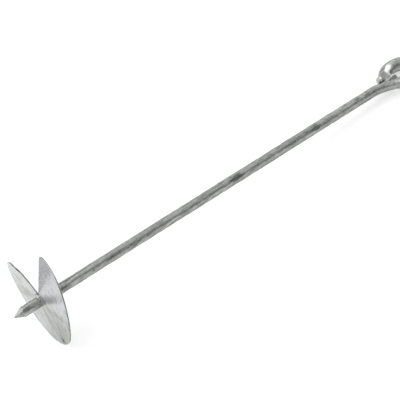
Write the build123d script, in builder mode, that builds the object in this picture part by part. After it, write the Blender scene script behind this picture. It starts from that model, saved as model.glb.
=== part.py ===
from build123d import *
import os
from math import asin, atan, cos, degrees, pi, radians, sin, sqrt

# Screw earth anchor, galvanised steel, left-hand, made as one welded piece.
#
# A round bar is forged to a six-sided point at one end and bent to a closed eye at the other.
# Near the point it carries one helix plate: a disc slit along one radius, its two lips pulled
# apart along the bar, and welded to the bar at the hub.
#
# Frame: millimetres, +Z up.  The anchor lies as it comes to rest on a floor at Z = 0, on the
# rim of the plate and the underside of the eye, with the eye towards +X and the origin at the
# middle of the footprint.  "Along" is measured on the axis of the bar from the middle of the
# hub, positive towards the eye.  Angles round the bar are right-handed about that axis, from
# the direction that lies level.

# Bar and point
bar_dia = 16.0
nose_length = 45.0  # hub to the tip
point_length = 15.0
point_sides = 6
point_flat = 1.6  # blunt end, measured across
point_turn = 24.5  # one edge of the point, round the bar
shank_length = 603.0  # hub to the start of the neck

# Eye
neck_radius = 57.5
neck_angle = 32.0
leg_length = 25.0
swell_length = 16.0  # end part of the leg, over which the bar grows thicker
eye_radius = 28.0  # to the middle of the bar
eye_bar_dia = 21.8  # the bar is upset here
eye_wrap = 318.0
eye_gap = 0.4  # cut end of the eye to the neck, before welding

# Helix plate
plate_dia = 142.0  # the flat disc before it is pulled
plate_thickness = 2.5
bore_clearance = 0.5  # all round the bar
slit_width = 0.5
slit_angle = 90.5
back_lip_rise = 23.4  # towards the eye, at the rim
back_lip_span = 125.0  # part of the turn over which that lip is bent
front_lip_drop = 11.7  # towards the point, at the rim
front_lip_power = 2.3  # the higher, the later in the turn that lip bends
front_curl = 3.2  # how far the rim of the front lip curls over towards the point
front_curl_span = 85.0  # part of the turn over which the curl grows
curl_power = 6  # the higher, the nearer to the rim the sheet curls
slow_wave = 2.0  # wave of the rim, one to the turn
quick_wave = 1.4  # wave of the rim, three halves to the turn
root_radius = 10.6  # where the straight lines of the plate start
bore_stock = 1.0  # plate left inside the bar's radius until the bore is cut
back_lip_corner = 4.5
front_lip_corner = 10.5
corner_depth = 8.0  # of the cut that rounds a lip's corner, to each side of the sheet
hang_hole_dia = 5.0
hang_hole_radius = 64.5
hang_hole_angle = 240.6

# Welds
hub_bead_leg = 4.0
hub_bead_hollow = 6.4  # radius of its hollow face
front_bead_start = 34.0
front_bead_span = 101.0
back_bead_start = 115.0
back_bead_span = 300.0
eye_bead_leg = 4.0
eye_bead_low = 0.96  # share of the ring's wrap where the bead starts
eye_bead_reach = 58.0  # part of the eye's wrap, at its end, that the bead can touch
lump_radius = 6.0  # lump of weld that bridges from the outside of the ring to the neck
lump_ring_end = (-36.9, 12.3, 2.0)  # along, level and square to both, from the ring's middle
lump_neck_end = (-42.9, 3.0, 8.5)

plate_sections = 33  # cross sections that the plate is lofted through
section_shares = (0, 0.4, 0.65, 0.8, 0.9, 1)  # where each section's curve is fixed, hub to rim

os.makedirs("parts", exist_ok=True)

# At rest the rim of the plate and the far end of the eye touch the floor, which sets the
# slope of the bar and the height of the hub.
neck_turn = radians(neck_angle)
leg_end_along = shank_length + neck_radius * sin(neck_turn) + leg_length * cos(neck_turn)
eye_centre_along = leg_end_along + eye_radius * sin(neck_turn)
eye_centre_side = (
    eye_radius * cos(neck_turn) - neck_radius * (1 - cos(neck_turn)) - leg_length * sin(neck_turn)
)
eye_touch_along = eye_centre_along + eye_radius
eye_reach = eye_touch_along + eye_bar_dia / 2
slope = atan((plate_dia - eye_bar_dia) / 2 / eye_touch_along)
hub_height = plate_dia / 2 * cos(slope) + plate_thickness / 2 * sin(slope)
hub_offset = (eye_reach - nose_length) / 2 * cos(slope)
bar_frame = Plane(
    origin=(-hub_offset, 0, hub_height),
    x_dir=(cos(slope), 0, -sin(slope)),
    z_dir=(sin(slope), 0, cos(slope)),
)
bar_axis = Axis(bar_frame.origin, bar_frame.x_dir)


def across(along):
    """Plane square to the bar, facing the eye, at a distance from the hub."""
    centre = bar_frame.from_local_coords((along, 0, 0))
    return Plane(origin=centre, x_dir=bar_frame.y_dir, z_dir=bar_frame.x_dir)


def outward(angle):
    """Unit vector square to the bar at an angle round it."""
    return bar_frame.y_dir * cos(radians(angle)) + bar_frame.z_dir * sin(radians(angle))


# The point: a short length of bar forged to flats that meet at a blunt end.
shoulder = point_length - nose_length
with BuildPart() as point:
    with BuildSketch(across(shoulder)):
        Circle(bar_dia / 2)
    extrude(amount=-point_length)
    with BuildSketch(across(shoulder)):
        RegularPolygon(bar_dia / 2, point_sides, major_radius=False, rotation=point_turn)
    with BuildSketch(across(-nose_length)):
        RegularPolygon(point_flat / 2, point_sides, major_radius=False, rotation=point_turn)
    loft(mode=Mode.INTERSECT)

# The centre line of the bar: straight shank, neck that leads off the axis, straight leg,
# and the ring that comes back to the neck.
with BuildLine(bar_frame) as shank_line:
    shank = Line((shoulder, 0), (shank_length, 0))
    neck = JernArc(shank @ 1, shank % 1, neck_radius, -neck_angle)
leg_start = Plane(origin=neck @ 1, x_dir=bar_frame.z_dir, z_dir=neck % 1)
leg_swell = leg_start.offset(leg_length - swell_length)
leg_end = leg_start.offset(leg_length)
with BuildLine(bar_frame) as ring_line:
    ring = JernArc(leg_end.origin, leg_end.z_dir, eye_radius, eye_wrap)


def neck_and_leg(extra):
    """Neck and swelling leg of the bar, made thicker all round by an extra."""
    with BuildPart() as length:
        with BuildSketch(across(shank_length)):
            Circle(bar_dia / 2 + extra)
        sweep(path=neck)
        with BuildSketch(leg_start):
            Circle(bar_dia / 2 + extra)
        extrude(amount=leg_length - swell_length)
        with BuildSketch(leg_swell):
            Circle(bar_dia / 2 + extra)
        with BuildSketch(leg_end):
            Circle(eye_bar_dia / 2 + extra)
        loft()
    return length.part


# The ring is coped where its end meets the neck.
with BuildPart() as eye_ring:
    with BuildSketch(leg_end):
        Circle(eye_bar_dia / 2)
    sweep(path=ring)
    add(neck_and_leg(eye_gap), mode=Mode.SUBTRACT)

with BuildPart() as anchor_bar:
    add(point.part)
    with BuildSketch(across(shoulder)):
        Circle(bar_dia / 2)
    extrude(amount=shank.length)
    add(neck_and_leg(0))
    add(eye_ring.solids().sort_by(SortBy.VOLUME)[-1])
anchor_bar.part.label = "anchor_bar"
export_step(anchor_bar.part, "parts/anchor_bar.step")


# The helix plate.
def rim_rise(turn):
    """Height of the rim towards the eye, from the back lip (0) to the front lip (1)."""
    bent = min(turn * 360 / back_lip_span, 1)
    lips = back_lip_rise * (1 + cos(pi * bent)) / 2 - front_lip_drop * turn**front_lip_power
    return lips + slow_wave * sin(2 * pi * turn) + quick_wave * sin(3 * pi * turn)


def plate_line(angle, rise):
    """Plane of one straight line of the plate, from its root outwards, square to the slit."""
    tilt = asin(rise / (plate_dia / 2 - root_radius))
    line = outward(angle) * cos(tilt) + bar_frame.x_dir * sin(tilt)
    around = bar_frame.x_dir.cross(outward(angle))
    return Plane(origin=bar_frame.origin + outward(angle) * root_radius, x_dir=line, z_dir=around)


def curl(reach, turn):
    """How far the sheet leaves its straight line, at a reach from the root."""
    grown = max(1 - (1 - turn) * 360 / front_curl_span, 0)
    return front_curl * grown * max(reach / (plate_dia / 2 - root_radius), 0) ** curl_power


def lip_corner(angle, turn, corner_radius, side):
    """Block to cut from a lip so that its corner is an arc tangent to the rim and the slit.

    Side is 1 where the sheet lies at the smaller angles, and -1 where it lies at the larger.
    """
    rim = plate_dia / 2
    line = plate_line(angle, rim_rise(turn))
    tip = line.from_local_coords((rim - root_radius, curl(rim - root_radius, turn)))
    centre = sqrt((rim - corner_radius) ** 2 - corner_radius**2)
    grow = rim / (rim - corner_radius)
    with BuildPart() as block:
        with BuildSketch(Plane(origin=tip, x_dir=line.x_dir, z_dir=line.y_dir * side)):
            with BuildLine():
                Polyline(
                    (centre - rim, corner_radius),
                    (centre - rim, -corner_depth),
                    (corner_depth, -corner_depth),
                    (corner_depth, corner_radius * grow),
                    (centre * grow - rim, corner_radius * grow),
                    close=True,
                )
            make_face()
            with Locations((centre - rim, corner_radius)):
                Circle(corner_radius, mode=Mode.SUBTRACT)
        extrude(amount=corner_depth, both=True)
    return block.part


slit_half = degrees(slit_width / plate_dia)
inner_reach = bar_dia / 2 - bore_stock - root_radius
outer_reach = plate_dia / 2 - root_radius
reaches = [inner_reach + share * (outer_reach - inner_reach) for share in section_shares]
with BuildPart() as helix_plate:
    for step in range(plate_sections):
        turn = step / (plate_sections - 1)
        angle = slit_angle + slit_half + turn * (360 - 2 * slit_half)
        with BuildSketch(plate_line(angle, rim_rise(turn))):
            with BuildLine():
                low = Spline([(r, curl(r, turn) - plate_thickness / 2) for r in reaches])
                high = Spline([(r, curl(r, turn) + plate_thickness / 2) for r in reaches])
                Line(low @ 0, high @ 0)
                Line(low @ 1, high @ 1)
            make_face()
    loft()
    add(lip_corner(slit_angle + slit_half, 0, back_lip_corner, -1), mode=Mode.SUBTRACT)
    add(lip_corner(slit_angle - slit_half, 1, front_lip_corner, 1), mode=Mode.SUBTRACT)
    with Locations(across(0)):
        Cylinder(bar_dia / 2 + bore_clearance, plate_dia, mode=Mode.SUBTRACT)
    hole_turn = ((hang_hole_angle - slit_angle) % 360) / 360
    hole_line = plate_line(hang_hole_angle, rim_rise(hole_turn))
    hole_centre = hole_line.from_local_coords((hang_hole_radius - root_radius, 0))
    with Locations(Plane(origin=hole_centre, x_dir=hole_line.x_dir, z_dir=hole_line.y_dir)):
        Cylinder(hang_hole_dia / 2, 4 * plate_thickness, mode=Mode.SUBTRACT)
helix_plate.part.label = "helix_plate"
export_step(helix_plate.part, "parts/helix_plate.step")


def hub_bead(side, start, span):
    """Fillet bead at the foot of the plate: side -1 faces the point, +1 the eye."""
    toe = plate_thickness / 2 + hub_bead_leg
    with BuildPart() as bead:
        with BuildSketch(Plane(bar_frame.origin, bar_frame.x_dir, outward(start + 90))):
            with BuildLine():
                foot = Line((0, bar_dia / 2), (side * toe, bar_dia / 2))
                top = (side * plate_thickness / 2, bar_dia / 2 + hub_bead_leg)
                face = RadiusArc(foot @ 1, top, side * hub_bead_hollow)
                Polyline(face @ 1, (0, bar_dia / 2 + hub_bead_leg), foot @ 0)
            make_face()
        revolve(axis=bar_axis, revolution_arc=span)
        add(helix_plate.part, mode=Mode.SUBTRACT)
    return bead.part


front_bead = hub_bead(-1, front_bead_start, front_bead_span)
front_bead.label = "front_bead"
export_step(front_bead, "parts/front_bead.step")
back_bead = hub_bead(1, back_bead_start, back_bead_span)
back_bead.label = "back_bead"
export_step(back_bead, "parts/back_bead.step")

# The bead that closes the eye: a round run of weld laid along the joint between the cut end
# of the ring and the neck, and the lump that the weld is built up to outside it.
ring_origin = bar_frame.from_local_coords((eye_centre_along, eye_centre_side, 0))
ring_middle = Plane(origin=ring_origin, x_dir=bar_frame.x_dir, z_dir=bar_frame.z_dir)
with BuildPart() as eye_bead:
    with BuildLine(bar_frame) as bead_line:
        JernArc(ring @ eye_bead_low, -(ring % eye_bead_low), eye_radius, -eye_bead_reach)
    bead_start = bead_line.line @ 0
    bead_way = bead_line.line % 0
    with BuildSketch(Plane(origin=bead_start, x_dir=bar_frame.z_dir, z_dir=bead_way)):
        Circle(eye_bar_dia / 2 + eye_bead_leg)
    sweep(path=bead_line.line)
    add(neck_and_leg(eye_bead_leg), mode=Mode.INTERSECT)
    with Locations(ring_middle):
        with Locations(lump_ring_end, lump_neck_end):
            Sphere(lump_radius)
    lump_start = ring_middle.from_local_coords(lump_ring_end)
    lump_way = ring_middle.from_local_coords(lump_neck_end) - lump_start
    with BuildSketch(Plane(origin=lump_start, z_dir=lump_way)):
        Circle(lump_radius)
    extrude(amount=lump_way.length)
    add(anchor_bar.part, mode=Mode.SUBTRACT)
closing_bead = eye_bead.solids().sort_by(SortBy.VOLUME)[-1]
closing_bead.label = "eye_bead"
export_step(closing_bead, "parts/eye_bead.step")
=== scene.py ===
# %% [markdown]
# Screw earth anchor
#
# A guy wire's ground anchor: a round steel bar with a forged point, a closed eye, and one
# helix plate that pulls it into the soil as it is turned.  Everything was dipped in molten
# zinc after welding, so what the eye sees is zinc: dull and lumpy on the rough-rolled bar,
# bright and smooth on the thin plate, and run together in drips where it drained.
#
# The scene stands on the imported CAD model.  Each piece below is a surface worked out with
# numpy from the same sizes as the CAD, then given the small unevenness that zinc has.

# %% Load the frame
from math import atan, cos, degrees, pi, radians, sin

import bpy
import numpy as np
from mathutils import Matrix, Vector


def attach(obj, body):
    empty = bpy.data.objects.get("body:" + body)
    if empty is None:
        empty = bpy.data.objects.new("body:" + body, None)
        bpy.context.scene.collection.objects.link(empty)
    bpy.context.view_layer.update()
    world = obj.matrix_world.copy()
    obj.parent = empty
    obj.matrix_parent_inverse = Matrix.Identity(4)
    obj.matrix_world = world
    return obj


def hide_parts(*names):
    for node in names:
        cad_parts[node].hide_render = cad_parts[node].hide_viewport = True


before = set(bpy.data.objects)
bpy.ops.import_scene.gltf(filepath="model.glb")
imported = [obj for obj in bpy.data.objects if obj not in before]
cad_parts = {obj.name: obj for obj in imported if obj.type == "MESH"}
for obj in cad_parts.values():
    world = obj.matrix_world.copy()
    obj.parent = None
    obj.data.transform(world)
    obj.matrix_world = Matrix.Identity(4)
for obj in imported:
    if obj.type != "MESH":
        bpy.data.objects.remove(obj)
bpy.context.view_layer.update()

# %% [markdown]
# ## Sizes
#
# The CAD sizes are repeated here, because the scene reads nothing but the frame.  They are in
# millimetres, as a maker would measure them, and `MM` turns them into Blender's metres.  The
# sizes that only one piece needs come with that piece.

# %% Sizes that more than one piece needs, in millimetres
MM = 0.001
BAR_R = 8.0
NOSE = 45.0  # from the middle of the plate, the hub, to the tip
SHANK = 603.0  # from the hub to the start of the neck
NECK_R = 57.5
NECK_TURN = radians(32.0)
LEG = 25.0  # straight length between the neck and the ring
EYE_R = 28.0  # of the ring, to the middle of its bar
EYE_BAR_R = 10.9
PLATE_R = 71.0
PLATE_T = 2.5

# %% The bar's own frame: along the bar, level across it, and square to both
leg_end_along = SHANK + NECK_R * sin(NECK_TURN) + LEG * cos(NECK_TURN)
eye_along = leg_end_along + EYE_R * sin(NECK_TURN)
eye_side = EYE_R * cos(NECK_TURN) - NECK_R * (1 - cos(NECK_TURN)) - LEG * sin(NECK_TURN)
slope = atan((PLATE_R - EYE_BAR_R) / (eye_along + EYE_R))
hub_height = PLATE_R * cos(slope) + PLATE_T / 2 * sin(slope)
hub_offset = (eye_along + EYE_R + EYE_BAR_R - NOSE) / 2 * cos(slope)
HUB = np.array([-hub_offset, 0.0, hub_height])
ALONG = np.array([cos(slope), 0.0, -sin(slope)])
LEVEL = np.array([0.0, 1.0, 0.0])
SQUARE = np.array([sin(slope), 0.0, cos(slope)])
print("slope of the bar:", round(degrees(slope), 3), "degrees; hub at", HUB.round(2), "mm")


def place(along, level, square):
    """Bar frame to row frame: hub + along * ALONG + level * LEVEL + square * SQUARE."""
    parts = [np.asarray(v, float)[..., None] for v in (along, level, square)]
    return HUB + parts[0] * ALONG + parts[1] * LEVEL + parts[2] * SQUARE


# %% [markdown]
# ## Unevenness
#
# Real zinc is never flat.  A smooth random surface can be had by adding up plane waves that
# run in random directions: with a few dozen of them no pattern shows, the result has no grid,
# and the whole mesh is worked out in one array product.  A Displace modifier with a noise
# texture would do as well, but the waves can be drawn out along the bar, as its zinc is.

# %% Smooth random unevenness
def waves(points, size, seed, count=48, stretch=(1.0, 1.0, 1.0)):
    """Sum of `count` cosines of (direction . point / size + phase), scaled to spread about 1.

    `size` is the wavelength in millimetres, from which each wave differs by up to a factor
    of about 1.6.  `stretch` lengthens it along the bar, level and square directions, so that
    streaks can run one way.
    """
    rng = np.random.default_rng(seed)
    way = rng.normal(size=(count, 3))
    way /= np.linalg.norm(way, axis=1)[:, None]
    way *= rng.uniform(0.6, 1.6, size=(count, 1)) * 2 * pi / size
    phase = rng.uniform(0, 2 * pi, size=count)
    axes = np.stack([ALONG / stretch[0], LEVEL / stretch[1], SQUARE / stretch[2]])
    local = (points - HUB) @ axes.T
    return np.cos(local @ way.T + phase).sum(-1) * (2.0 / count) ** 0.5


# %% Turn grids of points into a Blender mesh
def add_mesh(name, points, faces, slot, smooth_angle=50.0):
    """Makes one object from points in millimetres and faces that list point numbers."""
    mesh = bpy.data.meshes.new(name)
    mesh.from_pydata((points * MM).tolist(), [], faces)
    mesh.validate()
    mesh.shade_smooth()
    mesh.set_sharp_from_angle(angle=radians(smooth_angle))
    piece = bpy.data.objects.new(name, mesh)
    bpy.context.scene.collection.objects.link(piece)
    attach(piece, "root")
    print(name, "has", len(mesh.vertices), "points and", len(mesh.polygons), "faces")
    return piece


def add_value(piece, name, values):
    """Gives each point of the piece a number that its material can read."""
    layer = piece.data.attributes.new(name, "FLOAT", "POINT")
    layer.data.foreach_set("value", np.asarray(values, np.float32))


# %% Number the faces of a grid and of a tube
def grid_faces(rows, columns):
    """Quads between neighbouring rows of a grid whose columns close on themselves."""
    row, column = np.meshgrid(np.arange(rows - 1), np.arange(columns), indexing="ij")
    here = row * columns
    after = (column + 1) % columns
    quads = [here + column, here + after, here + columns + after, here + columns + column]
    return np.stack(quads, -1).reshape(-1, 4).tolist()


def cap_faces(first, columns, pole, flip):
    """Triangles from a closed ring of points, numbered from `first`, to one pole."""
    here = first + np.arange(columns)
    after = first + (np.arange(columns) + 1) % columns
    order = (after, here) if flip else (here, after)
    return [[int(a), int(b), pole] for a, b in zip(*order)]


def tube_faces(rows, columns):
    """Quads of a tube, and triangles from its end rings to the two poles after its points."""
    faces = grid_faces(rows, columns)
    faces += cap_faces(0, columns, rows * columns, flip=True)
    faces += cap_faces((rows - 1) * columns, columns, rows * columns + 1, flip=False)
    return faces


# %% [markdown]
# ## The bar
#
# One hot-rolled bar makes the point, the shank, the neck and the eye.  It is a tube carried
# along a line that lies in one plane: straight, an arc off the axis, a straight leg, and
# nearly a full ring back to the neck.  The radius changes along the way: it grows through the
# six flats of the point, stays even on the shank and swells into the heavier eye.  A curve
# with a round bevel would make the shank, but it can't grow flats, so the tube is worked out
# point by point.

# %% Centre line of the bar
EYE_WRAP = radians(318.0)  # the ring stops where it runs into the neck
leg_start = SHANK + NECK_R * NECK_TURN
ring_start = leg_start + LEG
bar_end = ring_start + EYE_R * EYE_WRAP
print("length of the bar along its middle:", round(NOSE + bar_end, 1), "mm")


def centre_line(s):
    """Point (along, level) and heading of the line at a length s from the hub.

    Straight to the neck, an arc turning right, the straight leg, then the ring turning left.
    """
    on_neck = np.clip(s - SHANK, 0, NECK_R * NECK_TURN) / NECK_R
    on_leg = np.clip(s - leg_start, 0, LEG)
    on_ring = np.clip(s - ring_start, 0, None) / EYE_R
    heading = on_ring - on_neck
    along = np.minimum(s, SHANK) + NECK_R * np.sin(on_neck) + on_leg * cos(NECK_TURN)
    level = -NECK_R * (1 - np.cos(on_neck)) - on_leg * sin(NECK_TURN)
    along = along + EYE_R * (np.sin(on_ring - NECK_TURN) + sin(NECK_TURN))
    level = level + EYE_R * (cos(NECK_TURN) - np.cos(on_ring - NECK_TURN))
    return along, level, heading


# %% Radius of the bar
POINT = 15.0  # length of the six flats
POINT_FLAT = 0.8  # half width across the flats that is left at the tip
POINT_TURN = radians(24.5 + 30)  # turn of the flats about the bar
ROUND_AFTER = 1.5  # length past the flats from which the bar is simply round
RIDGE_SOFT = 0.12  # softness of the ridge between the flats and the round bar
SWELL = 16.0  # length over which the leg swells to the thickness of the eye


def bar_radius(s, angle):
    """Radius of the bar: six flats near the tip, then round, then swollen in the eye.

    The flats are a six-sided cone cut into the round bar, with the ridge between the two
    softened by a smooth minimum.
    """
    into_point = np.clip((s + NOSE) / POINT, 0, 1)
    flat = POINT_FLAT + (BAR_R - POINT_FLAT) * into_point
    sector = (angle - POINT_TURN + pi / 6) % (pi / 3) - pi / 6
    hexagon = flat / np.cos(sector)
    swell = np.clip((s - ring_start + SWELL) / SWELL, 0, 1)
    round_bar = BAR_R + (EYE_BAR_R - BAR_R) * swell + 0 * angle
    mixed = -RIDGE_SOFT * np.logaddexp(-hexagon / RIDGE_SOFT, -round_bar / RIDGE_SOFT)
    return np.where(s > POINT - NOSE + ROUND_AFTER, round_bar, mixed)


# %% Stains on the bar, with painted reflection bands and painted shade
# Partly zinc stains and partly painted light: the long narrow streaks are painted dark reflection
# bands along the middle of the bar's flank towards the viewer, and the spot at -25 along the bar is
# painted shade on one side of the point.
BAR_SPOTS_AND_SHADE = (  # along the bar, degrees round it, half length, half width in degrees, strength
    (340, 150, 11, 45, 1.0), (490, 140, 9, 40, 0.8), (573, 120, 8, 35, 0.6), (605, 150, 6, 30, 0.7),
    (150, 170, 15, 35, 0.6), (85, 165, 3, 20, 1.2), (225, 195, 45, 16, 0.5), (300, 190, 25, 16, 0.5),
    (55, 97, 30, 9, 0.9), (20, 168, 40, 8, 0.6), (430, 200, 40, 14, 0.4), (-25, 175, 14, 12, 0.4),
)
BAR_STAIN = 0.10  # level of stain all over the bar
SPOT_STAIN_AND_SHADE = 0.75  # what the middle of a spot of strength 1 adds to it


def bar_stain_and_shade(along, around):
    """Stains and painted shade: bell-shaped spots, exp(-(distance / half size) squared), on a low
    even level.
    """
    total = BAR_STAIN + 0 * along + 0 * around
    for spot_along, spot_around, length, width, strength in BAR_SPOTS_AND_SHADE:
        far = ((along - spot_along) / length) ** 2 + ((around - spot_around) / width) ** 2
        total = total + SPOT_STAIN_AND_SHADE * strength * np.exp(-far)
    return np.clip(total, 0, 1)


# %% Skin of the bar with its zinc
BAR_COLUMNS = 96
POINT_ROWS, SHANK_ROWS, EYE_ROWS = 60, 640, 260
BAR_INSET = 0.13  # sets the skin in, so that the zinc's crests stay within the CAD box
EYE_CALM = 0.85  # share of the unevenness that is lost on the smoother eye
TIP_CALM = 3.0  # length over which the unevenness starts at the tip


def bar_skin():
    """Tube: centre line + radius * (cos(angle) * side + sin(angle) * square), plus zinc."""
    fine_end = POINT - NOSE + 2
    s = np.concatenate([
        np.linspace(-NOSE, fine_end, POINT_ROWS)[:-1],
        np.linspace(fine_end, SHANK, SHANK_ROWS)[:-1],
        np.linspace(SHANK, bar_end, EYE_ROWS),
    ])
    angle = np.arange(BAR_COLUMNS) * 2 * pi / BAR_COLUMNS
    along, level, heading = (v[:, None] for v in centre_line(s))
    radius = bar_radius(s[:, None], angle[None, :])
    across = radius * np.cos(angle)
    points = place(along - across * np.sin(heading), level + across * np.cos(heading),
                   radius * np.sin(angle))
    middle = place(along, level, 0 * along)
    away = (points - middle) / radius[..., None]
    rough = np.clip((s + NOSE) / TIP_CALM, 0, 1)[:, None]
    calm = 1 - EYE_CALM * np.clip((s[:, None] - leg_start) / LEG, 0, 1)
    zinc = 0.10 * waves(points, 9.0, 1, stretch=(2.2, 1, 1))
    zinc = zinc + 0.05 * waves(points, 3.5, 2, stretch=(1.5, 1, 1))
    points = points + away * (zinc * rough * calm - BAR_INSET)[..., None]
    # The stain value holds zinc stains, painted dark reflection bands and painted shade on the
    # point.
    stain = bar_stain_and_shade(s[:, None], np.degrees(angle)[None, :])
    poles = np.stack([middle[0, 0], middle[-1, 0]])
    flat = np.concatenate([points.reshape(-1, 3), poles])
    return flat, tube_faces(len(s), BAR_COLUMNS), np.concatenate([stain.ravel(), stain[[0, -1], 0]])


bar_points, bar_faces, stain_and_shade = bar_skin()
bar = add_mesh("bar_skin", bar_points, bar_faces, "zinc_bar")
add_value(bar, "stain", stain_and_shade)
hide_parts("anchor_bar")

# %% [markdown]
# ## The helix plate
#
# A disc of thin sheet, slit along one radius, with the lips pulled apart so that one is bent
# towards the eye over about a third of the turn and the other leans towards the point.  It is
# a line that swings round the hub and tilts as it goes, which makes a ruled surface.  Only
# near the front lip its outer end curls towards the point.  Bending a flat disc with
# modifiers would stretch the sheet in ways that are hard to steer, so each point is worked
# out from how far out, how far round and how far off the middle of the sheet it lies.

# %% Form of the plate
PLATE_BORE = 8.5
SLIT_ANGLE = 90.5
SLIT_WIDTH = 0.5
HALF_SLIT = SLIT_WIDTH / (2 * PLATE_R)  # as an angle at the rim
BACK_RISE = 23.4  # of the back lip, towards the eye
BACK_SPAN = 125.0  # degrees over which that rise is lost
FRONT_DROP = 11.7  # of the front lip, towards the point
DROP_POWER = 2.3
SLOW_WAVE = 2.0
QUICK_WAVE = 1.4
FRONT_CURL = 3.2
CURL_SPAN = 85.0  # degrees before the front lip in which the curl grows
CURL_POWER = 6
ROOT = 10.6  # radius from which the line tilts


def rim_rise(turn):
    """Height of the rim towards the eye, at a share `turn` of the way round.

    A cosine fall from the back lip, less FRONT_DROP * turn to the power 2.3, plus two waves:
    one sine over the whole turn, and one and a half sines over it.
    """
    bent = np.clip(turn * 360 / BACK_SPAN, 0, 1)
    back = BACK_RISE * (1 + np.cos(pi * bent)) / 2
    lips = back - FRONT_DROP * np.clip(turn, 0, 1) ** DROP_POWER
    return lips + SLOW_WAVE * np.sin(2 * pi * turn) + QUICK_WAVE * np.sin(3 * pi * turn)


def plate_point(reach, angle, lift):
    """Point of the plate: hub + ROOT out, then `reach` along the tilted line, `lift` off it.

    The curl takes FRONT_CURL * (share of the way out) to the power 6 off the lift, and grows
    from nothing to that over the last degrees before the front lip.
    """
    turn = (angle - radians(SLIT_ANGLE)) / (2 * pi)
    tilt = np.arcsin(rim_rise(turn) / (PLATE_R - ROOT))
    out, along = np.cos(tilt), np.sin(tilt)
    grown = np.clip(1 - (1 - turn) * 360 / CURL_SPAN, 0, 1)
    lift = lift - FRONT_CURL * grown * np.clip(reach / (PLATE_R - ROOT), 0, None) ** CURL_POWER
    radial = ROOT + reach * out - lift * along
    return place(reach * along + lift * out, radial * np.cos(angle), radial * np.sin(angle))


# %% Steps of the grid: across the sheet, and round the turn
EDGE_ROUND = 0.45  # radius of the sheet's softened edges
EDGE_STEPS = 4
FACE_COLUMNS = 72
TURN_ROWS = 376
LIP_ROWS = 14
LIP_EASE = 8.0  # near a lip, as far as this, the rows turn parallel to the cut


def edge_steps():
    """How far in and how far down each step of an edge is, on a quarter circle."""
    steps = np.linspace(0, pi / 2, EDGE_STEPS)
    return EDGE_ROUND * (1 - np.sin(steps)), EDGE_ROUND * (1 - np.cos(steps))


def sheet_section():
    """Share of the way out, shift near the edges, and thinning, from the bore to the rim."""
    inset, round_off = edge_steps()
    face = np.linspace(0, 1, FACE_COLUMNS)[1:-1]
    share = np.concatenate([0 * inset, face, 0 * inset + 1])
    shift = np.concatenate([inset[::-1], 0 * face, -inset])
    thin = np.concatenate([round_off[::-1], 0 * face, round_off])
    return share, shift, thin


def turn_steps():
    """Length along the rim of each row from the back lip, and the whole length."""
    whole = 2 * pi * PLATE_R - 2 * PLATE_R * HALF_SLIT
    near = np.linspace(EDGE_ROUND, LIP_EASE, LIP_ROWS)[1:]
    start = np.concatenate([edge_steps()[0][::-1], near])
    middle = np.linspace(LIP_EASE, whole - LIP_EASE, TURN_ROWS)[1:-1]
    return np.concatenate([start, middle, (whole - start)[::-1]]), whole


# %% The grid of the plate: rows round the turn, columns from the bore to the rim
LIP_CORNERS = (4.5, 10.5)  # radius of the back lip's corner and of the front lip's
CORNER_LIMIT = 30.0  # farther from a lip than this no corner reaches


def rim_reach(from_lip, on_back):
    """Reach of the rim: the whole circle, less a rounded corner tangent to rim and lip."""
    corner = np.where(on_back, *LIP_CORNERS)
    centre = np.sqrt((PLATE_R - corner) ** 2 - corner ** 2)
    cut = np.clip(corner - from_lip, 0, None)
    corner_rim = centre + np.sqrt(np.clip(corner ** 2 - cut ** 2, 0, None))
    whole_rim = np.sqrt(PLATE_R ** 2 - np.minimum(from_lip, CORNER_LIMIT) ** 2)
    on_corner = from_lip < corner * PLATE_R / (PLATE_R - corner)
    return np.where(on_corner, np.minimum(corner_rim, whole_rim), PLATE_R) - ROOT


def plate_grid():
    """Reach, angle and lift for every point of the face towards the eye."""
    share, shift, thin = sheet_section()
    arc, whole = turn_steps()
    from_lip = np.minimum(arc, whole - arc)
    on_back = arc < whole / 2
    bore = PLATE_BORE - ROOT
    reach = bore + share * (rim_reach(from_lip, on_back)[:, None] - bore) + shift
    under = np.clip(EDGE_ROUND ** 2 - (EDGE_ROUND - from_lip) ** 2, 0, None)
    slim = np.where(from_lip < EDGE_ROUND, EDGE_ROUND - np.sqrt(under), 0)
    lift = PLATE_T / 2 - np.maximum(thin[None, :], slim[:, None])
    from_lip_angle = from_lip[:, None] / (ROOT + reach)
    parallel = np.where(on_back[:, None], from_lip_angle, whole / PLATE_R - from_lip_angle)
    ease = np.clip(1 - from_lip / LIP_EASE, 0, 1)[:, None]
    turned = (1 - ease) * (arc / PLATE_R)[:, None] + ease * parallel
    return reach, radians(SLIT_ANGLE) + HALF_SLIT + turned, lift


# %% [markdown]
# ## The hanging hole
#
# Near the rim is the small hole by which the anchor hung in the zinc bath.  A Boolean would
# cut it, but it would leave long thin faces that catch the light.  Here the grid itself is
# bent: a block of cells is drawn into rings round the hole, and the middle cells are left out.

# %% The hanging hole, opened in the grid
HOLE_R = 2.5
HOLE_AT = 64.5
HOLE_ANGLE = 240.6
HOLE_CELLS = 3  # from the middle of the block to the edge of the hole
BLOCK_CELLS = 7  # from the middle to the edge of the block that is bent
RING_GROWTH = 0.34  # how much wider each ring is than the one inside it, in hole radii


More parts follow.
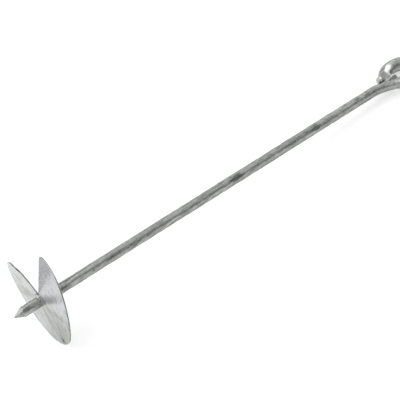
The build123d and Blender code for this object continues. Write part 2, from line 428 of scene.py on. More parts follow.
def open_hole(reach, angle, on_face):
    """Bends a square block of the grid into rings round the hole, on both faces.

    On ring j of the block (its distance in cells from the middle), a point moves towards the
    circle of the hole's radius: fully at the hole's edge, not at all at the block's edge.
    Gives back the row and the column of the middle.
    """
    hole_reach = HOLE_AT - ROOT
    hole_angle = radians(HOLE_ANGLE)
    gap = (reach[:, :on_face] - hole_reach) ** 2
    gap = gap + ((angle[:, :on_face] - hole_angle) * HOLE_AT) ** 2
    row, column = np.unravel_index(np.argmin(gap), gap.shape)
    cells = np.arange(-BLOCK_CELLS, BLOCK_CELLS + 1)
    i, j = np.meshgrid(cells, cells, indexing="ij")
    ring = np.maximum(abs(i), abs(j))
    outwards = reach[row + i, column + j] - reach[row, column]
    aside = (angle[row + i, column + j] - angle[row, column]) * HOLE_AT
    turn = np.arctan2(aside, outwards)
    size = HOLE_R * (1 + (ring - HOLE_CELLS) * RING_GROWTH)
    weight = np.clip((BLOCK_CELLS - ring) / (BLOCK_CELLS - HOLE_CELLS), 0, 1)
    new_reach = hole_reach + size * np.cos(turn)
    new_angle = hole_angle + size * np.sin(turn) / HOLE_AT
    for face_column in (column + j, 2 * on_face - 1 - column - j):
        reach[row + i, face_column] += weight * (new_reach - reach[row + i, face_column])
        angle[row + i, face_column] += weight * (new_angle - angle[row + i, face_column])
    return row, column


# %% Faces of the plate
def rim_of_block(row, column):
    """Rows and columns of the square ring round the cells left out, in order."""
    side = np.arange(-HOLE_CELLS, HOLE_CELLS)
    full = np.full(2 * HOLE_CELLS, HOLE_CELLS)
    i = np.concatenate([side, full, -side, -full])
    j = np.concatenate([-full, side, full, -side])
    return row + i, column + j


def sheet_faces(rows, on_face, row, column):
    """Both faces without the hole's cells, the wall of the hole, and the two cut edges."""
    columns = 2 * on_face
    faces = np.array(grid_faces(rows, columns)).reshape(rows - 1, columns, 4)
    keep = np.ones((rows - 1, columns), bool)
    for middle in (column, columns - 1 - column):
        keep[row - HOLE_CELLS:row + HOLE_CELLS, middle - HOLE_CELLS:middle + HOLE_CELLS] = False
    i, j = rim_of_block(row, column)
    top = i * columns + j
    bottom = i * columns + (columns - 1 - j)
    first = np.arange(on_face - 1)
    other = columns - 1 - first
    last = (rows - 1) * columns
    return np.concatenate([
        faces[keep],
        np.stack([top, np.roll(top, -1), np.roll(bottom, -1), bottom], -1),
        np.stack([first + 1, first, other, other - 1], -1),
        np.stack([last + first, last + first + 1, last + other - 1, last + other], -1),
    ])


# %% [markdown]
# ## Marks on the plate
#
# The bent front sheet has a few thin raised creases, one of which parts in two, and where
# molten zinc drained by the hub and the hole it left dull stains.  A painted texture would show
# them, but here they are numbers on the points, worked out from a few lines and spots: the mesh
# rises along a crease, the material paints shade along the same place, and it darkens the stains.

# %% Marks on the plate: creases with painted shade, and stains
CREASES = (  # radius and degrees of each corner of a crease
    ((58, 388), (43, 365), (19, 361)),
    ((50, 371), (40, 349)),
    ((30, 203), (50, 209)),
    ((44, 196), (58, 214)),
)
CREASE_WIDTH = 1.5
PLATE_SPOTS = (  # radius, degrees, half length along the radius, half width, strength
    (20, 204, 7, 5, 1.0), (15, 168, 6, 4, 0.7), (46, 222, 14, 7, 0.7), (60, 238, 9, 8, 0.8),
    (33, 250, 14, 8, 0.5), (14, 143, 2.2, 1.8, 1.2), (40, 362, 16, 3, 0.6), (25, 268, 14, 9, 0.5),
    (36, 190, 20, 3, 0.5), (45, 352, 16, 7, 0.6), (55, 388, 12, 5, 0.5), (64, 240, 5, 5, 0.9),
)
CLEAN_STAIN = 0.08  # level of stain from the back lip to STAIN_FROM degrees
DULL_STAIN = 0.29  # what the rest of the plate has on top of it
STAIN_FROM, STAIN_OVER = 165, 20


def polar(radius, turned):
    """Flat point at a radius and an angle in degrees: radius * (cos, sin)."""
    return np.array([radius * cos(radians(turned)), radius * sin(radians(turned))])


def plate_marks(radius, angle):
    """Crease: exp(-(distance to the line / width) squared).  Stain: spots on a low level."""
    across, up = radius * np.cos(angle), radius * np.sin(angle)
    turned = np.degrees(angle)
    crease = 0 * radius
    for corners in CREASES:
        for (r0, d0), (r1, d1) in zip(corners[:-1], corners[1:]):
            start = polar(r0, d0)
            way = polar(r1, d1) - start
            share = ((across - start[0]) * way[0] + (up - start[1]) * way[1]) / (way @ way)
            share = np.clip(share, 0, 1)
            far = np.hypot(across - start[0] - share * way[0], up - start[1] - share * way[1])
            near = np.abs(turned - (d0 + d1) / 2) < 90
            crease = np.maximum(crease, near * np.exp(-(far / CREASE_WIDTH) ** 2))
    dull = np.clip((turned - STAIN_FROM) / STAIN_OVER, 0, 1)
    stain = CLEAN_STAIN + DULL_STAIN * dull + 0 * radius
    for r0, d0, length, width, strength in PLATE_SPOTS:
        way = polar(1, d0)
        out = (across * way[0] + up * way[1] - r0) / length
        aside = (up * way[0] - across * way[1]) / width
        near = np.abs(turned - d0) < 90
        stain = stain + near * strength * np.exp(-out ** 2 - aside ** 2)
    return crease, np.clip(stain, 0, 1)


# %% Painted shade on the edges of the plate and round its hole
CUT_EDGE_SHADE = 0.6  # how much painted shade the cut edges get beside the rim, which has 1
HOLE_SHADE_WIDTH = 1.6  # width of the ring of painted shade round the hole


def painted_edge_shade(reach, angle, on_face):
    """Painted shade: 1 on the rim, less on the cut edges, exp(-(distance to the hole / width)
    squared).
    """
    rim = np.zeros(reach.shape)
    rim[:, [on_face - 1, on_face]] = 1
    rim[[0, -1]] = CUT_EDGE_SHADE
    hole = polar(HOLE_AT, HOLE_ANGLE)
    from_hole = np.hypot((reach + ROOT) * np.cos(angle) - hole[0],
                         (reach + ROOT) * np.sin(angle) - hole[1])
    return np.maximum(rim, np.exp(-((from_hole - HOLE_R) / HOLE_SHADE_WIDTH) ** 2))


# %% Skin of the plate with its zinc
PLATE_INSET = 0.05  # sets the skin in, so that the zinc's crests stay within the CAD box
RIDGE = 0.25  # height of a crease on the front sheet


def plate_skin():
    """Both faces and edges of the sheet as one closed surface, with the hole through it."""
    reach, angle, lift = plate_grid()
    rows, on_face = reach.shape
    reach = np.concatenate([reach, reach[:, ::-1]], 1)
    angle = np.concatenate([angle, angle[:, ::-1]], 1)
    lift = np.concatenate([lift, -lift[:, ::-1]], 1)
    row, column = open_hole(reach, angle, on_face)
    points = plate_point(reach, angle, lift)
    middle = plate_point(reach, angle, 0 * lift)
    off = points - middle
    off /= np.linalg.norm(off, axis=-1)[..., None] + 1e-9
    ripple = 0.035 * waves(middle, 16.0, 11) + 0.018 * waves(middle, 5.0, 12)
    crease, stain = plate_marks(reach + ROOT, angle)
    front = np.arange(2 * on_face) >= on_face
    points = points + off * (ripple - PLATE_INSET + RIDGE * crease * front)[..., None]
    quads = sheet_faces(rows, on_face, row, column)
    used, numbers = np.unique(quads, return_inverse=True)
    # The rim value is painted shade on the sheet's edges and round the hole.
    marks = [v.ravel()[used] for v in (painted_edge_shade(reach, angle, on_face), stain, crease)]
    return points.reshape(-1, 3)[used], numbers.reshape(-1, 4).tolist(), marks


plate_points, plate_faces, plate_values = plate_skin()
plate = add_mesh("plate_skin", plate_points, plate_faces, "zinc_plate")
# The crease value raises the creases and paints shade along them.
for name, values in zip(("rim", "stain", "crease"), plate_values):
    add_value(plate, name, values)
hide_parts("helix_plate")

# %% [markdown]
# ## Welds
#
# The plate is held by a run of weld on each side of it.  The eye is closed by a thin run
# where its end meets the neck, and by one fat lump at the outside of the ring.  A run is a
# sausage of metal laid along the joint, half sunk in the two parts, with the ripples that the
# welder's pauses leave and a rounded start and end.  A bevelled curve would be even, so the
# radius is worked out along the run instead.


# %% A run of weld along a line
WELD_COLUMNS = 28
WELD_ROUGH = 0.15  # height of the small bumps on a run


def run_directions(centres, closed):
    """Length so far, and the directions to the side and up, at each centre of a run."""
    if closed:
        heading = np.roll(centres, -1, 0) - np.roll(centres, 1, 0)
    else:
        heading = np.gradient(centres, axis=0)
    step = np.linalg.norm(heading, axis=1) / 2
    heading = heading / np.linalg.norm(heading, axis=1)[:, None]
    side = np.cross(heading, ALONG)
    side /= np.linalg.norm(side, axis=1)[:, None]
    return np.cumsum(step), side, np.cross(side, heading)


def weld_run(centres, size, seed, closed=False, ripple=0.10, pitch=2.2):
    """Sausage: centre + radius * (cos * side + sin * up), with radius rippled along the run.

    The ripple is a row of rounded scallops, |sin| of the length over the pitch, and the ends
    of an open run close like a hemisphere.
    """
    rows = len(centres)
    length, side, up = run_directions(centres, closed)
    around = np.arange(WELD_COLUMNS) * 2 * pi / WELD_COLUMNS
    scallop = 1 - ripple * (1 - np.abs(np.sin(pi * length / pitch)))
    size = np.broadcast_to(size, (rows,)) * scallop
    if not closed:
        from_end = np.minimum(length - length[0], length[-1] - length)
        size = size * np.sqrt(np.clip(1 - np.clip(1 - from_end / size, 0, 1) ** 2, 0.0004, 1))
    ring = np.cos(around)[:, None, None] * side + np.sin(around)[:, None, None] * up
    points = (centres + size[:, None] * ring).transpose(1, 0, 2)
    bumps = WELD_ROUGH * waves(points, 4.0, seed)
    flat = (points + ring.transpose(1, 0, 2) * bumps[..., None]).reshape(-1, 3)
    if closed:
        faces = grid_faces(rows + 1, WELD_COLUMNS)
        return flat, [[n % len(flat) for n in face] for face in faces]
    return np.concatenate([flat, centres[[0, -1]]]), tube_faces(rows, WELD_COLUMNS)


# %% Runs at the hub
HUB_FOOT = (1.2, 0.8)  # centre of a run: out from the bar, and off the face of the plate
HUB_ROWS = 1.2  # rows per degree


def hub_run(side, start, span, size, seed):
    """Centres on a circle round the bar, at the foot of the plate on one side of it.

    `side` is 1 towards the eye and -1 towards the point, `start` and `span` are in degrees.
    """
    angle = radians(start) + np.linspace(0, radians(span), int(span * HUB_ROWS))
    reach = BAR_R + HUB_FOOT[0] - ROOT
    centres = plate_point(reach + 0 * angle, angle, side * (PLATE_T / 2 + HUB_FOOT[1]))
    return weld_run(centres, size, seed)


front_run = hub_run(side=-1, start=37, span=95, size=3.1, seed=21)
front_bead = add_mesh("front_bead_run", *front_run, "zinc_weld")
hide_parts("front_bead")
back_run = hub_run(side=1, start=115, span=298, size=3.0, seed=22)
back_bead = add_mesh("back_bead_run", *back_run, "zinc_weld")
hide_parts("back_bead")


# %% Run that closes the eye
JOINT_COLUMNS = 72
JOINT_BACK = 30.0  # length of the ring, back from its end, in which the joint is looked for
NECK_BACK = 20.0  # length before the neck that is looked at with it
JOINT_SMOOTH = 6  # times that the joint is averaged with its neighbours
EYE_RUN = 1.5  # radius of the run


def eye_joint():
    """Where the skin of the ring, followed to its cut end, first meets the skin of the neck."""
    s = np.linspace(bar_end - JOINT_BACK, bar_end, 240)[:, None]
    angle = np.arange(JOINT_COLUMNS) * 2 * pi / JOINT_COLUMNS
    along, level, heading = centre_line(s)
    across = EYE_BAR_R * np.cos(angle)
    skin = place(along - across * np.sin(heading), level + across * np.cos(heading),
                 EYE_BAR_R * np.sin(angle) + 0 * s)
    neck_s = np.linspace(SHANK - NECK_BACK, ring_start, 260)
    neck = place(*centre_line(neck_s)[:2], 0 * neck_s)
    neck_radius = bar_radius(neck_s, 0 * neck_s)
    gap = np.stack([np.linalg.norm(skin - c, axis=-1) - r for c, r in zip(neck, neck_radius)])
    touching = gap.min(0) < 0
    first = np.where(touching.any(0), touching.argmax(0), len(s) - 1)
    joint = skin[first, np.arange(JOINT_COLUMNS)]
    for _ in range(JOINT_SMOOTH):
        joint = (np.roll(joint, 1, 0) + 2 * joint + np.roll(joint, -1, 0)) / 4
    return joint


eye_run = weld_run(eye_joint(), EYE_RUN, 23, closed=True)
eye_bead = add_mesh("eye_bead_run", *eye_run, "zinc_weld")

# %% Lump at the outside of the ring
LUMP_R = 6.0
LUMP_ENDS = ((-36.9, 12.3, 2.0), (-42.9, 3.0, 8.5))  # from the middle of the ring


def lump_run():
    """Short fat run on a straight line from the outside of the ring over to the neck."""
    ring_end, neck_end = np.array(LUMP_ENDS)
    way = (neck_end - ring_end) / np.linalg.norm(neck_end - ring_end)
    first, last = ring_end - LUMP_R * way, neck_end + LUMP_R * way
    steps = np.linspace(0, 1, 60)[:, None]
    spots = first + (last - first) * steps
    centres = place(eye_along + spots[:, 0], eye_side + spots[:, 1], spots[:, 2])
    return weld_run(centres, LUMP_R - 0.2, 24, ripple=0.04, pitch=5.0)


eye_lump = add_mesh("eye_lump_run", *lump_run(), "zinc_weld")
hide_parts("eye_bead")
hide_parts("eye_bead")

# %% [markdown]
# ## Zinc
#
# Hot-dip zinc is a grey metal with three scales of detail: broad clouds where it ran thick or
# thin, a mottle of a few millimetres, and a fine grain.  All three come from noise in Object
# coordinates, so they stay on the surface and differ from place to place.  Over them lie dull
# stains in streaks, which on the bar also carry painted dark reflection bands and painted shade
# on the point, and painted shade darkens the sheet's edges, a ring round its hole and its
# creases.  Both groups below are built once and used by each of the zinc materials with values
# of its own; the shader itself stays in the material, where the export can read it.


# %% Helpers for building nodes
def add_node(tree, kind, **settings):
    """A node of that kind, with its settings as attributes and its inputs by name."""
    node = tree.nodes.new(kind)
    inputs = settings.pop("inputs", {})
    for key, value in settings.items():
        setattr(node, key, value)
    for key, value in inputs.items():
        node.inputs[key].default_value = value
    return node


def wire(tree, *pairs):
    """Links output sockets to input sockets."""
    for output, target in pairs:
        tree.links.new(output, target)


def new_group(name, inputs, outputs):
    """A node group with its two end nodes; each input is (name, kind, value to start with)."""
    tree = bpy.data.node_groups.new(name, "ShaderNodeTree")
    for label, kind, start in inputs:
        socket = tree.interface.new_socket(label, in_out="INPUT", socket_type="NodeSocket" + kind)
        if start is not None:
            socket.default_value = start
    for label, kind in outputs:
        tree.interface.new_socket(label, in_out="OUTPUT", socket_type="NodeSocket" + kind)
    return tree, add_node(tree, "NodeGroupInput"), add_node(tree, "NodeGroupOutput")


def new_material(name):
    """A material with an empty node tree, and that tree."""
    material = bpy.data.materials.new(name)
    material.use_nodes = True
    material.node_tree.nodes.clear()
    return material, material.node_tree


# %% The zinc group
GRAIN_SCALE, GRAIN_SHARE = 1400.0, 0.09
ROUGHNESS = (0.2, 0.36)  # where the mottle is lowest and where it is highest


def zinc_group():
    """The mean of clouds and mottle, spread about a half by the contrast, plus the grain.

    The sum mixes the dark and the light colour and is the height; the mottle alone sets the
    roughness.
    """
    tree, given, put_out = new_group(
        "zinc_skin",
        (("Vector", "Vector", None), ("Light", "Color", (0.7, 0.7, 0.7, 1)),
         ("Dark", "Color", (0.3, 0.3, 0.3, 1)), ("Cloud Scale", "Float", 30.0),
         ("Mottle Scale", "Float", 200.0), ("Contrast", "Float", 1.0)),
        (("Color", "Color"), ("Rough", "Float"), ("Height", "Float")))
    cloud = add_node(tree, "ShaderNodeTexNoise", inputs={"Detail": 3.0, "Roughness": 0.55})
    mottle = add_node(tree, "ShaderNodeTexNoise", inputs={"Detail": 4.0, "Roughness": 0.6})
    grain = add_node(tree, "ShaderNodeTexNoise", inputs={"Scale": GRAIN_SCALE, "Detail": 2.0})
    both = add_node(tree, "ShaderNodeMath", operation="MULTIPLY_ADD", inputs={1: 0.5})
    half = add_node(tree, "ShaderNodeMath", operation="MULTIPLY", inputs={1: 0.5})
    centred = add_node(tree, "ShaderNodeMath", operation="SUBTRACT", inputs={1: 0.5})
    spread = add_node(tree, "ShaderNodeMath", operation="MULTIPLY_ADD", inputs={2: 0.5})
    with_grain = add_node(tree, "ShaderNodeMath", operation="MULTIPLY_ADD",
                          inputs={1: GRAIN_SHARE})
    mixed = add_node(tree, "ShaderNodeMix", data_type="RGBA")
    rough = add_node(tree, "ShaderNodeMapRange",
                     inputs={"To Min": ROUGHNESS[0], "To Max": ROUGHNESS[1]})
    wire(
        tree,
        (given.outputs["Vector"], cloud.inputs["Vector"]),
        (given.outputs["Vector"], mottle.inputs["Vector"]),
        (given.outputs["Vector"], grain.inputs["Vector"]),
        (given.outputs["Cloud Scale"], cloud.inputs["Scale"]),
        (given.outputs["Mottle Scale"], mottle.inputs["Scale"]),
        (mottle.outputs[0], half.inputs[0]),
        (cloud.outputs[0], both.inputs[0]),
        (half.outputs[0], both.inputs[2]),
        (both.outputs[0], centred.inputs[0]),
        (centred.outputs[0], spread.inputs[0]),
        (given.outputs["Contrast"], spread.inputs[1]),
        (grain.outputs[0], with_grain.inputs[0]),
        (spread.outputs[0], with_grain.inputs[2]),
        (with_grain.outputs[0], mixed.inputs["Factor"]),
        (given.outputs["Dark"], mixed.inputs["A"]),
        (given.outputs["Light"], mixed.inputs["B"]),
        (mottle.outputs[0], rough.inputs["Value"]),
        (mixed.outputs["Result"], put_out.inputs["Color"]),
        (rough.outputs["Result"], put_out.inputs["Rough"]),
        (with_grain.outputs[0], put_out.inputs["Height"]),
    )
    return tree


ZINC = zinc_group()
print("group", ZINC.name, "has", len(ZINC.nodes), "nodes")

# %% The stain and shade group
STAIN_LIFT = 0.34  # how far a full stain lifts the noise
STAIN_CUT = (0.54, 0.78)  # height at which the mask starts, and at which it is full


def stain_and_shade_group():
    """Mask of streaky noise that spreads where the `Stain` value is high; on the bar it also paints
    dark reflection bands and shade.

    Noise + STAIN_LIFT * Stain, eased from 0 to 1 between the two heights of STAIN_CUT.
    """
    tree, given, put_out = new_group(
        "zinc_stain_and_shade",
        (("Vector", "Vector", None), ("Scale", "Float", None), ("Stain", "Float", None)),
        (("Mask", "Float"),))
    noise = add_node(tree, "ShaderNodeTexNoise", inputs={"Detail": 4.0, "Roughness": 0.6})
    lifted = add_node(tree, "ShaderNodeMath", operation="MULTIPLY_ADD", inputs={1: STAIN_LIFT})
    cut = add_node(tree, "ShaderNodeMapRange", interpolation_type="SMOOTHSTEP",
                   inputs={"From Min": STAIN_CUT[0], "From Max": STAIN_CUT[1]})
    wire(
        tree,
        (given.outputs["Vector"], noise.inputs["Vector"]),
        (given.outputs["Scale"], noise.inputs["Scale"]),
        (given.outputs["Stain"], lifted.inputs[0]),
        (noise.outputs[0], lifted.inputs[2]),
        (lifted.outputs[0], cut.inputs["Value"]),
        (cut.outputs["Result"], put_out.inputs["Mask"]),
    )
    return tree


STAIN_AND_SHADE = stain_and_shade_group()
print("group", STAIN_AND_SHADE.name, "has", len(STAIN_AND_SHADE.nodes), "nodes")

# %% Marks on the zinc: stains, painted crease shade and painted edge shade
# Colour of the painted shade on the sheet's edges and round its hanging hole.
EDGE_SHADE_COLOUR = (0.16, 0.17, 0.16, 1)
EDGE_SHADE_SHARE = 0.65  # share of the painted edge shade's colour where "rim" is 1
CREASE_SHADE_SHARE = 0.85  # painted shade: share of the stain's colour where "crease" is 1


def marked_colour(tree, clean, tint=(0.3, 0.3, 0.3, 1), run_scale=60.0, run_turn=0.0,
                  run_stretch=(1, 1, 1)):
    """The clean colour with stains, painted crease shade and painted edge shade laid over it in
    turn.

    Stains of the colour `tint` lie where the piece's "stain" value is high, in streaks drawn
    out by `run_stretch` and turned `run_turn` about the bar; on the bar that value also holds
    painted dark reflection bands and painted shade on the point.  The "crease" value paints shade
    along the creases and the "rim" value paints shade on the sheet's edges and round its hole.
    """
    where = add_node(tree, "ShaderNodeTexCoord")
    run_way = add_node(tree, "ShaderNodeMapping", inputs={"Rotation": (-run_turn, slope, 0)})
    drawn = add_node(tree, "ShaderNodeMapping", inputs={"Scale": run_stretch})
    stain_and_shade_mask = add_node(tree, "ShaderNodeGroup", node_tree=STAIN_AND_SHADE)
    stain_and_shade_mask.inputs["Scale"].default_value = run_scale
    level, rim, crease = (add_node(tree, "ShaderNodeAttribute", attribute_name=value)
                          for value in ("stain", "rim", "crease"))
    # Painted shade on the sheet's edges and round the hanging hole, from the "rim" value.
    edges = add_node(tree, "ShaderNodeMath", operation="MULTIPLY", inputs={1: EDGE_SHADE_SHARE})
    # Painted shade along the creases, in the stain colour.
    crease_shade = add_node(tree, "ShaderNodeMath", operation="MULTIPLY", inputs={1: CREASE_SHADE_SHARE})
    stain_and_shade, crease_shaded, edge_shaded = (
        add_node(tree, "ShaderNodeMix", data_type="RGBA", inputs={"B": colour})
        for colour in (tint, tint, EDGE_SHADE_COLOUR))
    wire(
        tree,
        (where.outputs["Object"], run_way.inputs["Vector"]),
        (run_way.outputs["Vector"], drawn.inputs["Vector"]),
        (drawn.outputs["Vector"], stain_and_shade_mask.inputs["Vector"]),
        (level.outputs["Fac"], stain_and_shade_mask.inputs["Stain"]),
        (clean, stain_and_shade.inputs["A"]),
        (stain_and_shade_mask.outputs["Mask"], stain_and_shade.inputs["Factor"]),
        (crease.outputs["Fac"], crease_shade.inputs[0]),
        (crease_shade.outputs[0], crease_shaded.inputs["Factor"]),
        (stain_and_shade.outputs["Result"], crease_shaded.inputs["A"]),
        (rim.outputs["Fac"], edges.inputs[0]),
        (edges.outputs[0], edge_shaded.inputs["Factor"]),
        (crease_shaded.outputs["Result"], edge_shaded.inputs["A"]),
    )
    return edge_shaded.outputs["Result"]


# %% A zinc material
BUMP_DEPTH = 0.0003  # metres


def zinc_material(name, light, dark, cloud, mottle, contrast, metallic, bump, stretch=(1, 1, 1),
                  **marks):
    """Zinc with its own colours, scales and marks; `stretch` draws its pattern out."""
    material, tree = new_material(name)
    where = add_node(tree, "ShaderNodeTexCoord")
    turned = add_node(tree, "ShaderNodeMapping",
                      inputs={"Rotation": (0, slope, 0), "Scale": stretch})
    skin = add_node(tree, "ShaderNodeGroup", node_tree=ZINC)
    for key, value in (("Light", light), ("Dark", dark), ("Cloud Scale", cloud),
                       ("Mottle Scale", mottle), ("Contrast", contrast)):
        skin.inputs[key].default_value = value
    raised = add_node(tree, "ShaderNodeBump", inputs={"Strength": bump, "Distance": BUMP_DEPTH})
    metal = add_node(tree, "ShaderNodeBsdfPrincipled", inputs={"Metallic": metallic})
    shown = add_node(tree, "ShaderNodeOutputMaterial")
    wire(
        tree,
        (where.outputs["Object"], turned.inputs["Vector"]),
        (turned.outputs["Vector"], skin.inputs["Vector"]),
        (marked_colour(tree, skin.outputs["Color"], **marks), metal.inputs["Base Color"]),
        (skin.outputs["Rough"], metal.inputs["Roughness"]),
        (skin.outputs["Height"], raised.inputs["Height"]),
        (raised.outputs["Normal"], metal.inputs["Normal"]),
        (metal.outputs["BSDF"], shown.inputs["Surface"]),
    )
    return material


# %% [markdown]
# ## The three zincs
#
# The bar's zinc is dull with strong contrast and is drawn out along the bar.  The plate's is
# bright and even, with streaks that run the way the zinc drained to the hanging hole.  The
# weld's lies between the two and has a finer pattern.

# %% The zinc of the bar, the plate and the welds
# On the bar `tint` is laid as zinc stains and as painted dark reflection bands and painted shade on
# the point.
bar_zinc = zinc_material(
    "bar_zinc", light=(0.70, 0.715, 0.70, 1), dark=(0.325, 0.335, 0.325, 1), cloud=45, mottle=300,
    contrast=2.9, metallic=0.9, bump=0.2, stretch=(0.45, 1, 1), tint=(0.22, 0.235, 0.21, 1),
    run_scale=300.0, run_stretch=(0.12, 1, 1))
# The plate's `tint` colours its stains and the painted shade along its creases.
plate_zinc = zinc_material(
    "plate_zinc", light=(0.82, 0.83, 0.85, 1), dark=(0.68, 0.69, 0.71, 1), cloud=22, mottle=160,
    contrast=1.5, metallic=0.7, bump=0.08, tint=(0.46, 0.48, 0.43, 1),
    run_scale=330.0, run_turn=radians(HOLE_ANGLE), run_stretch=(1, 0.13, 1))
weld_zinc = zinc_material(
    "weld_zinc", light=(0.80, 0.82, 0.78, 1), dark=(0.42, 0.44, 0.41, 1), cloud=60, mottle=420,
    contrast=2.0, metallic=0.85, bump=0.2)
for piece, material in ((bar, bar_zinc), (plate, plate_zinc), (front_bead, weld_zinc),
                        (back_bead, weld_zinc), (eye_bead, weld_zinc), (eye_lump, weld_zinc)):
    piece.data.materials.clear()
    piece.data.materials.append(material)
    print(piece.name, "has", material.name)

# %% [markdown]
# ## Floor
#
# The anchor lies on a plain white floor.  Lamps strong enough to make it white would bleach
# the zinc, so the floor glows a little instead.  To the camera the glow is even, and adds to
# the lit colour, so that the floor is white with a faint shadow.  In the metal's reflections
# the glow is stronger behind the anchor than in front of it, and fades far away.

# %% Floor
FLOOR_HALF = 6.0
FLOOR_COLOUR = (0.8, 0.8, 0.8, 1)
WHITE = (1, 1, 1, 1)
GLOW_SEEN = 0.52  # glow of the floor to the camera
GLOW_Y, GLOW_MIRRORED = (-0.06, 0.25), (0.16, 0.47)  # from in front to behind, in reflections
FADE_AT, FADE_TO = (0.7, 0.95), (1.0, 0.3)  # share of it left, by metres from the middle


def eased(tree, between, values):
    """Map Range that eases from one value to the other between two limits."""
    return add_node(tree, "ShaderNodeMapRange", interpolation_type="SMOOTHSTEP",
                    inputs={"From Min": between[0], "From Max": between[1],
                            "To Min": values[0], "To Max": values[1]})


def floor_material():
    """Matt white plus a glow: even to the camera, and in reflections eased by Y and faded."""
    material, tree = new_material("floor_white")
    matt = add_node(tree, "ShaderNodeBsdfDiffuse", inputs={"Color": FLOOR_COLOUR})
    glow = add_node(tree, "ShaderNodeEmission", inputs={"Color": WHITE})
    path = add_node(tree, "ShaderNodeLightPath")
    where = add_node(tree, "ShaderNodeTexCoord")
    axes = add_node(tree, "ShaderNodeSeparateXYZ")
    behind = eased(tree, GLOW_Y, GLOW_MIRRORED)
    away = add_node(tree, "ShaderNodeVectorMath", operation="LENGTH")
    fade = eased(tree, FADE_AT, FADE_TO)
    placed = add_node(tree, "ShaderNodeMath", operation="MULTIPLY")
    direct = add_node(tree, "ShaderNodeMath", operation="MULTIPLY", inputs={1: GLOW_SEEN})
    mirrored = add_node(tree, "ShaderNodeMath", operation="MULTIPLY_ADD")
    both = add_node(tree, "ShaderNodeAddShader")
    shown = add_node(tree, "ShaderNodeOutputMaterial")
    wire(
        tree,
        (where.outputs["Object"], away.inputs[0]),
        (away.outputs["Value"], fade.inputs["Value"]),
        (where.outputs["Object"], axes.inputs[0]),
        (axes.outputs["Y"], behind.inputs["Value"]),
        (behind.outputs["Result"], placed.inputs[0]),
        (fade.outputs["Result"], placed.inputs[1]),
        (path.outputs["Is Camera Ray"], direct.inputs[0]),
        (path.outputs["Is Glossy Ray"], mirrored.inputs[0]),
        (placed.outputs[0], mirrored.inputs[1]),
        (direct.outputs[0], mirrored.inputs[2]),
        (mirrored.outputs[0], glow.inputs["Strength"]),
        (matt.outputs[0], both.inputs[0]),
        (glow.outputs[0], both.inputs[1]),
        (both.outputs[0], shown.inputs["Surface"]),
    )
    return material


def white_floor():
    """A big square at the height of the anchor's lowest points."""
    mesh = bpy.data.meshes.new("floor")
    half = FLOOR_HALF
    mesh.from_pydata([(-half, -half, 0), (half, -half, 0), (half, half, 0), (-half, half, 0)],
                     [], [(0, 1, 2, 3)])
    mesh.materials.append(floor_material())
    floor = bpy.data.objects.new("floor", mesh)
    bpy.context.scene.collection.objects.link(floor)
    print("floor:", 2 * half, "m square")


white_floor()

# %% [markdown]
# ## Light
#
# A tall window beyond the eye and a soft light above the point draw the long highlights on
# the bar and the eye.  A round bar shows the whole room round it, so the room matters as much
# as the lamps: it is pale, with a darker side, the viewer's, that gives the zinc its dark
# flanks.  Only the camera sees it as white.


# %% Soft lamps
def soft_lamp(name, place_at, aim, width, height, power):
    """A flat lamp, so wide and high in metres, that faces the point `aim`."""
    lamp = bpy.data.lights.new(name, "AREA")
    lamp.shape = "RECTANGLE"
    lamp.size, lamp.size_y = width, height
    lamp.energy = power
    holder = bpy.data.objects.new(name, lamp)
    holder.location = place_at
    holder.rotation_euler = (Vector(aim) - Vector(place_at)).to_track_quat("-Z", "Y").to_euler()
    bpy.context.scene.collection.objects.link(holder)
    print(name, "gives", power, "W")


soft_lamp("window_lamp", (1.95, 0.45, 0.91), (0.33, 0, 0), width=1.8, height=1.15, power=13)
soft_lamp("top_lamp", (-0.9, 0.5, 1.9), (-0.1, 0, 0), width=2.0, height=2.0, power=9)

# %% A pale room with a darker side
DARK_WAY = (0.17, -0.97, 0.17)  # direction of the darker side
DARK_SPAN = (0.45, 0.97)  # cosine of the angle to it, at which the room starts and ends to darken
ROOM_LEVEL = (0.62, 0.27)


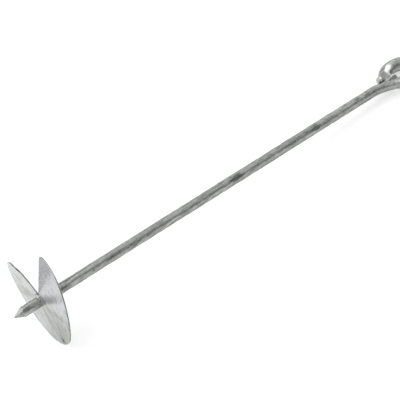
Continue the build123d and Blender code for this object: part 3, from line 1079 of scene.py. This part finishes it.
def pale_room():
    """Background by direction: eased from pale to darker with (direction . DARK_WAY)."""
    world = bpy.data.worlds.new("pale_room")
    bpy.context.scene.world = world
    world.use_nodes = True
    room = world.node_tree
    room.nodes.clear()
    path = add_node(room, "ShaderNodeLightPath")
    way = add_node(room, "ShaderNodeTexCoord")
    towards = add_node(room, "ShaderNodeVectorMath", operation="DOT_PRODUCT",
                       inputs={1: DARK_WAY})
    darker = eased(room, DARK_SPAN, ROOM_LEVEL)
    light = add_node(room, "ShaderNodeBackground", inputs={"Color": WHITE})
    seen = add_node(room, "ShaderNodeBackground", inputs={"Color": WHITE, "Strength": 1.0})
    mix = add_node(room, "ShaderNodeMixShader")
    shown = add_node(room, "ShaderNodeOutputWorld")
    wire(
        room,
        (way.outputs["Generated"], towards.inputs[0]),
        (towards.outputs["Value"], darker.inputs["Value"]),
        (darker.outputs["Result"], light.inputs["Strength"]),
        (path.outputs["Is Camera Ray"], mix.inputs[0]),
        (light.outputs[0], mix.inputs[1]),
        (seen.outputs[0], mix.inputs[2]),
        (mix.outputs[0], shown.inputs["Surface"]),
    )


pale_room()

# %% [markdown]
# ## Camera
#
# The anchor is seen from above and nearer to its point than to its eye, through a long lens,
# which keeps the plate and the eye near their true proportions.  The camera is also rolled,
# so that the bar runs at a slant across the view.

# %% Camera
CAMERA_AT = (-0.57645, -1.48488, 1.15628)
CAMERA_WAY = (0.270535, 0.771593, -0.575721)
CAMERA_ROLL = -24.921
CAMERA_LENS = 118.8


def set_camera():
    """Camera from its place, its heading and its roll, with a long lens."""
    lens = bpy.data.cameras.new("camera")
    lens.sensor_width = 36.0
    lens.lens = CAMERA_LENS
    lens.clip_end = 30
    camera = bpy.data.objects.new("camera", lens)
    level_turn = Vector(CAMERA_WAY).to_track_quat("-Z", "Y").to_matrix()
    roll = Matrix.Rotation(radians(CAMERA_ROLL), 3, "Z")
    camera.matrix_world = Matrix.Translation(CAMERA_AT) @ (level_turn @ roll).to_4x4()
    bpy.context.scene.collection.objects.link(camera)
    bpy.context.scene.camera = camera
    print("camera:", CAMERA_LENS, "mm lens, rolled", CAMERA_ROLL, "degrees")


set_camera()
bpy.context.scene.view_settings.view_transform = "Standard"

# %% Finish
bpy.context.view_layer.update()
